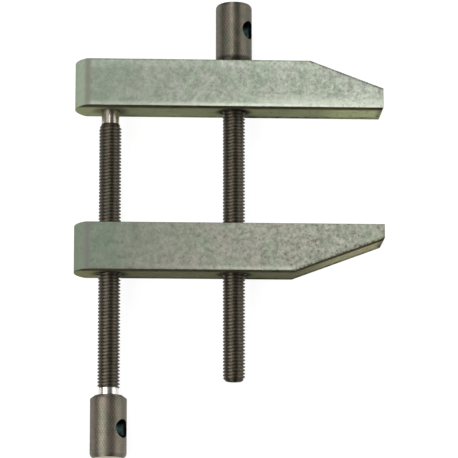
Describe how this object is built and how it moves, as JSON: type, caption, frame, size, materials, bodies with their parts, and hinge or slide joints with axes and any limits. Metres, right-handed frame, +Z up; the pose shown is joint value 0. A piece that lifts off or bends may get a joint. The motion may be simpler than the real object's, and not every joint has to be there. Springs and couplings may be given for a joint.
{
  "type": "parallel clamp",
  "caption": "Toolmaker's parallel clamp: two steel jaws with tapered noses joined by two threaded spindles with knurled heads drilled for a tommy bar.",
  "frame": {"origin": "middle of the clamp's box on the plane that the jaws' back broad faces lie on, at the opening shown", "axes": "+X along the jaws towards the nose, +Y along the screws towards the centre screw's head, +Z up from the broad faces that it lies on"},
  "size_m": [0.138, 0.2068, 0.0232],
  "materials": {
    "jaw_steel": "matt grey-green, fine grain",
    "spindle_steel": "blackened thread, bright tip and neck",
    "head_steel": "dull grey-brown, fine knurl"
  },
  "bodies": {
    "lower_jaw": {"lower_jaw": "jaw_steel"},
    "upper_jaw": {"upper_jaw": "jaw_steel"},
    "centre_screw": {"centre_spindle": "spindle_steel", "centre_head": "head_steel"},
    "rear_screw": {"rear_spindle": "spindle_steel", "rear_head": "head_steel"}
  },
  "joints": [
    {"name": "jaw_travel", "type": "slide", "parent": "lower_jaw", "child": "upper_jaw", "axis": [0, 1, 0], "range_m": [-0.053, 0.04725]},
    {"name": "centre_screw_turn", "type": "hinge", "parent": "upper_jaw", "child": "centre_screw", "pos_m": [0.0024, 0.0756, 0.0116], "axis": [0, 1, 0], "range_deg": [-12720, 11340]},
    {"name": "rear_screw_turn", "type": "hinge", "parent": "upper_jaw", "child": "rear_screw", "pos_m": [-0.0531, -0.0756, 0.0116], "axis": [0, 1, 0], "range_deg": [-12720, 11340]}
  ],
  "couplings": [
    {"joint": "centre_screw_turn", "follows": "jaw_travel", "rad_per_m": 4188.8},
    {"joint": "rear_screw_turn", "follows": "jaw_travel", "rad_per_m": 4188.8}
  ]
}
